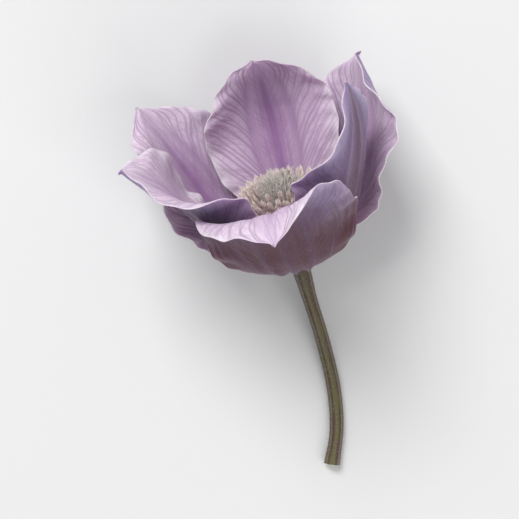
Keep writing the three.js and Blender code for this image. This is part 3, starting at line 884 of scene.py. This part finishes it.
def buildStalk(sizes):
    middle, along = np.array(bloomPlace["heart"]), np.array(axis)
    behind = [middle - along * distance for distance in sizes["behindHeart"]]
    path, reach = pathThrough([*behind, *sizes["route"]], sizes["routePoints"])
    share = reach / reach[-1]
    neck, slim = sizes["neckRadius"], sizes["stalkRadius"]
    slender = neck + (slim - neck) * smooth(*sizes["slimming"], share)
    slender += sizes["cutEndFlare"] * smooth(sizes["flareFrom"], 1, share)
    # The receptacle's own profile takes over where it is wider than the stalk.
    depths, wide = np.array(sizes["receptacle"]).T
    headDepth = np.concatenate([np.linspace(*rings) for rings in sizes["domeRings"]])
    head = middle + along * (sizes["top"] - headDepth)[:, None]
    pathDepth = reach + sizes["top"] + sizes["behindHeart"][0]
    neckEnd = depths[-1]
    hidden = slender * smooth(sizes["neckFrom"], neckEnd, pathDepth)
    blended = np.maximum(np.interp(pathDepth, depths, wide), hidden)
    thick = np.where(pathDepth < neckEnd, blended, slender)
    past, narrowing, pith = np.array(sizes["cutEnd"]).T
    direction = (path[-1] - path[-2]) / np.linalg.norm(path[-1] - path[-2])
    line = np.concatenate([head, path, path[-1] + direction * past[:, None]])
    radii = np.concatenate([np.interp(headDepth, depths, wide), thick, thick[-1] * narrowing])
    cut = np.concatenate([np.zeros(len(head) + len(path)), pith])
    depth = np.concatenate([headDepth, pathDepth, pathDepth[-1] + past])
    mesh = bpy.data.meshes.new("stalkPath")
    mesh.from_pydata((line * mm).tolist(), [(i, i + 1) for i in range(len(line) - 1)], [])
    markPoints(mesh, {
        "thick": radii * mm,
        "cut": cut,
        "ridged": smooth(*sizes["ridgesGrow"], depth) * (1 - np.ceil(cut)),
        "collar": smooth(*sizes["collarGrows"], depth) * (1 - smooth(*sizes["collarFades"], depth)),
        "crown": 1 - smooth(*sizes["crownFades"], depth),
        "down": 1 - np.ceil(cut),
    })
    return addPiece("stalk_grown", mesh)


stalkPiece = buildStalk(stalkSizes)
growWith(stalkPiece, makeStemTree(), {
    "Sides": stalkSizes["sides"], "Ridges": float(stalkSizes["ridges"]),
    "Ridge Height": stalkSizes["ridgeHeight"] * mm, "Skin": stemSkin,
})
keepAboveSurface(stalkPiece)
growWith(stalkPiece, downTree, stalkSizes["down"])
keepAboveSurface(stalkPiece)
declarePiece(stalkPiece, "stalk")
print("stalk made:", len(stalkPiece.data.polygons), "faces")


# A closed mesh from rings of points, each ring with the same number of sides, and flat ends.
def ringMesh(name, rings):
    sides = len(rings[0])
    points = [tuple(value * mm for value in point) for ring in rings for point in ring]
    faces = [tuple(range(sides))[::-1], tuple(len(points) - sides + i for i in range(sides))]
    for start in range(0, len(points) - sides, sides):
        for i in range(sides):
            a, b = start + i, start + (i + 1) % sides
            faces.append((a, b, b + sides, a + sides))
    mesh = bpy.data.meshes.new(name)
    mesh.from_pydata(points, [], faces)
    mesh.polygons.foreach_set("use_smooth", [True] * len(faces))
    mesh.attributes.new("tipPart", "BOOLEAN", "FACE")
    return mesh


def circle(sides):
    return [(math.cos(2 * math.pi * i / sides), math.sin(2 * math.pi * i / sides)) for i in range(sides)]


# A thread along the z axis: stations of height, bow to +x, half width along y and half thickness along x.
def threadMesh(name, stations, sides, shift=0):
    return ringMesh(name, [
        [(bow + thick * x, shift + wide * y, height) for x, y in circle(sides)]
        for height, bow, wide, thick in stations
    ])


# A ring or dome that the threads stand on, turned round the z axis from a profile of radius and height.
def turnedMesh(name, profile, sides):
    return ringMesh(name, [
        [(radius * x, radius * y, height) for x, y in circle(sides)] for radius, height in profile
    ])


# One mesh from a thread and its tips, whose faces are marked as tipPart.
def joinTips(name, thread, tips):
    points, faces, marks = [], [], []
    for mesh in (thread, *tips):
        start = len(points)
        points += [tuple(vertex.co) for vertex in mesh.vertices]
        faces += [tuple(start + i for i in polygon.vertices) for polygon in mesh.polygons]
        marks += [mesh is not thread] * len(mesh.polygons)
    joined = bpy.data.meshes.new(name)
    joined.from_pydata(points, [], faces)
    joined.polygons.foreach_set("use_smooth", [True] * len(faces))
    joined.attributes.new("tipPart", "BOOLEAN", "FACE").data.foreach_set("value", marks)
    return joined


# Copies of a pattern stand on a spiral, as they do in the bloom, and lean out more the further they are
# from its middle. They are a little shorter there. Leans and spins are in radians.
def makeTuftTree():
    tree, given, result = startTree("spiralTuft", (
        ("Count", "Int"), ("Spiral Angle", "Float"), ("Inner Radius", "Float"), ("Outer Radius", "Float"),
        ("Root Height", "Float"), ("Middle Lean", "Float"), ("Edge Lean", "Float"),
        ("Lean Jitter", "Float"), ("Spin Jitter", "Float"), ("Edge Shortening", "Float"),
        ("Size Jitter", "Float"), ("Seed", "Int"), ("Pattern", "Object"),
        ("Thread Material", "Material"), ("Tip Material", "Material"),
    ))
    index = addNode(tree, "GeometryNodeInputIndex")
    # Each thread stands in the middle of its own share of the area.
    counted = mathNode(tree, "ADD", index, 0.5)
    area = mathNode(tree, "DIVIDE", counted, given["Count"])
    share = mathNode(tree, "SQRT", area)
    around = mathNode(tree, "MULTIPLY", index, given["Spiral Angle"])
    radius, lean = (
        rangeNode(tree, share, 0.0, 1.0, given[first], given[last], "LINEAR")
        for first, last in (("Inner Radius", "Outer Radius"), ("Middle Lean", "Edge Lean"))
    )
    onAxis = addNode(tree, "ShaderNodeCombineXYZ", {0: radius, 2: given["Root Height"]})
    place = addNode(tree, "ShaderNodeVectorRotate", {"Vector": onAxis, "Angle": around},
                    rotation_type="Z_AXIS")
    points = addNode(tree, "GeometryNodePoints", {"Count": given["Count"], "Position": place})
    means = {"Lean Jitter": lean, "Spin Jitter": around, "Size Jitter": 1.0}
    drawn = []
    for shift, (jitter, mean) in enumerate(means.items()):
        seed = addNode(tree, "FunctionNodeIntegerMath", {0: given["Seed"], 1: shift}, operation="ADD")
        limits = {2: -1.0, 3: 1.0, "Seed": seed}
        draw = addNode(tree, "FunctionNodeRandomValue", limits, 1, data_type="FLOAT")
        drawn.append(mathNode(tree, "MULTIPLY_ADD", given[jitter], draw, mean))
    leaning, spin, growth = drawn
    turn = addNode(tree, "ShaderNodeCombineXYZ", {1: leaning, 2: spin})
    shorter = mathNode(tree, "MULTIPLY", given["Edge Shortening"], share)
    size = mathNode(tree, "SUBTRACT", growth, shorter)
    pattern = addNode(tree, "GeometryNodeObjectInfo", {"Object": given["Pattern"]}, "Geometry",
                      transform_space="ORIGINAL")
    grown = addCopies(tree, given["Geometry"], points, pattern, turn, size)
    materials = ((given["Thread Material"], None), (given["Tip Material"], "tipPart"))
    return endTree(tree, result, grown, materials)


tuftTree = makeTuftTree()
goldenAngle = math.radians(137.508)  # the turn from one thread to the next, as plants set them


# Stands copies of the pattern on a turned base, both in the bloom's frame, and moves them to their place.
def buildTuft(name, base, pattern, values):
    original = addPiece(name + "_pattern", pattern)
    piece = addPiece(name + "_grown", base)
    growWith(piece, tuftTree, {**values, "Spiral Angle": goldenAngle, "Pattern": original})
    bpy.data.objects.remove(original)
    piece.data.transform(bloomMatrix)
    return piece


stamenSizes = {
    "filament": (
        (0, -0.05, 0.3, 0.12), (1.6, 0.0, 0.3, 0.11), (3.2, 0.12, 0.26, 0.1), (4.8, 0.3, 0.22, 0.1),
        (6.0, 0.5, 0.17, 0.1), (7.9, 0.8, 0.1, 0.08), (8.05, 0.82, 0.03, 0.03),
    ),
    "anther": (
        (5.5, 0.4, 0.03, 0.03), (5.62, 0.42, 0.15, 0.16), (6.1, 0.52, 0.21, 0.23), (7.0, 0.66, 0.21, 0.23),
        (7.6, 0.76, 0.15, 0.17), (7.8, 0.79, 0.03, 0.03),
    ),
    "antherApart": 0.19,  # each anther has two lobes, either side of its thread
    "threadSides": 8,
    "ring": ((1.45, 1.0), (2.75, 1.0), (3.0, 1.35), (3.06, 1.8), (2.8, 2.25), (1.8, 2.45), (1.5, 2.3)),
    "ringSides": 40,
    "tuft": {
        "Count": 78, "Inner Radius": 1.6 * mm, "Outer Radius": 3.0 * mm, "Root Height": 1.9 * mm,
        "Middle Lean": math.radians(0), "Edge Lean": math.radians(18), "Lean Jitter": math.radians(3),
        "Spin Jitter": 0.25, "Edge Shortening": 0.14, "Size Jitter": 0.05, "Seed": 21,
        "Thread Material": threadSkins["filament"], "Tip Material": threadSkins["anther"],
    },
}


def buildStamens(sizes):
    filament = threadMesh("filament", sizes["filament"], sizes["threadSides"])
    lobes = [
        threadMesh("antherLobe", sizes["anther"], sizes["threadSides"], sign * sizes["antherApart"])
        for sign in (-1, 1)
    ]
    base = turnedMesh("stamenRing", sizes["ring"], sizes["ringSides"])
    return buildTuft("stamens", base, joinTips("stamen", filament, lobes), sizes["tuft"])


stamensPiece = buildStamens(stamenSizes)
declarePiece(stamensPiece, "stamens")
print("stamens made:", len(stamensPiece.data.polygons), "faces")

styleSizes = {
    "thread": (
        (0, 0, 0.15, 0.15), (3.0, 0, 0.12, 0.12), (6.4, 0.05, 0.1, 0.1), (7.5, 0.2, 0.11, 0.11),
        (8.05, 0.42, 0.08, 0.08), (8.15, 0.47, 0.02, 0.02),
    ),
    "threadSides": 7,
    "dome": ((1.4, 1.4), (1.42, 2.3), (1.2, 2.8), (0.8, 3.2), (0.2, 3.4)),
    "domeSides": 24,
    "tuft": {
        "Count": 72, "Inner Radius": 0.05 * mm, "Outer Radius": 1.45 * mm, "Root Height": 2.2 * mm,
        "Middle Lean": math.radians(1), "Edge Lean": math.radians(9), "Lean Jitter": math.radians(2),
        "Spin Jitter": 0.25, "Edge Shortening": 0.07, "Size Jitter": 0.05, "Seed": 33,
        "Thread Material": threadSkins["style"], "Tip Material": threadSkins["style"],
    },
    "silk": {
        **hairSizes, "Density": 20e6, "Length": 0.6 * mm, "Thickness": 0.02 * mm, "Lean": 0.8, "Seed": 8,
        "Hair Material": threadSkins["silk"],
    },
}


# The styles are feathered with silk, which makes them a pale tuft.
def buildStyles(sizes):
    style = threadMesh("style", sizes["thread"], sizes["threadSides"])
    base = turnedMesh("styleDome", sizes["dome"], sizes["domeSides"])
    piece = buildTuft("styles", base, style, sizes["tuft"])
    markPoints(piece.data, {"down": np.ones(len(piece.data.vertices))})
    growWith(piece, downTree, sizes["silk"])
    return piece


stylesPiece = buildStyles(styleSizes)
declarePiece(stylesPiece, "styles")
print("styles made:", len(stylesPiece.data.polygons), "faces")

# Places and sizes in the studio are metres.
studio = {
    "floorSize": 2.0, "floorDrop": 0.02 * mm, "floorColour": "#dedede", "floorRoughness": 0.9,
    "cameraHeight": 0.36, "lens": 190, "middle": (0.0, 0.0),
    "world": 0.42, "worldColour": "#f2f2f5",
    "lights": {
        "key": {"at": (-0.22, 0.42, 0.6), "size": 0.35, "power": 4.6},
        "fill": {"at": (0.3, -0.4, 0.5), "size": 0.5, "power": 2.0},
    },
}


# A pale floor, soft light from two sides and a camera that looks straight down on the flower.
def makeStudio(setup):
    half, height = setup["floorSize"] / 2, -setup["floorDrop"]
    mesh = bpy.data.meshes.new("floor")
    corners = [(-half, -half, height), (half, -half, height), (half, half, height), (-half, half, height)]
    mesh.from_pydata(corners, [], [(0, 1, 2, 3)])
    # Matt studio paper scatters light evenly and shows no gloss.
    surface = {"Roughness": setup["floorRoughness"], "Base Color": hexColour(setup["floorColour"])}
    paper = startMaterial("studio paper, matt", surface)[0]
    mesh.materials.append(paper)
    addPiece("floor", mesh)
    for name, light in setup["lights"].items():
        lamp = bpy.data.lights.new(name, "AREA")
        lamp.size, lamp.energy = light["size"], light["power"]
        placed = addPiece(name, lamp)
        placed.location = light["at"]
        placed.rotation_euler = (-Vector(light["at"])).to_track_quat("-Z", "Y").to_euler()
    world = bpy.data.worlds.new("studio")
    world.use_nodes = True
    background = world.node_tree.nodes["Background"]
    background.inputs["Color"].default_value = hexColour(setup["worldColour"])
    background.inputs["Strength"].default_value = setup["world"]
    bpy.context.scene.world = world
    camera = bpy.data.cameras.new("camera")
    camera.lens = setup["lens"]
    eye = addPiece("camera", camera)
    eye.location = (*setup["middle"], setup["cameraHeight"])
    bpy.context.scene.camera = eye
    bpy.context.scene.view_settings.view_transform = "Standard"


makeStudio(studio)
print("studio made")
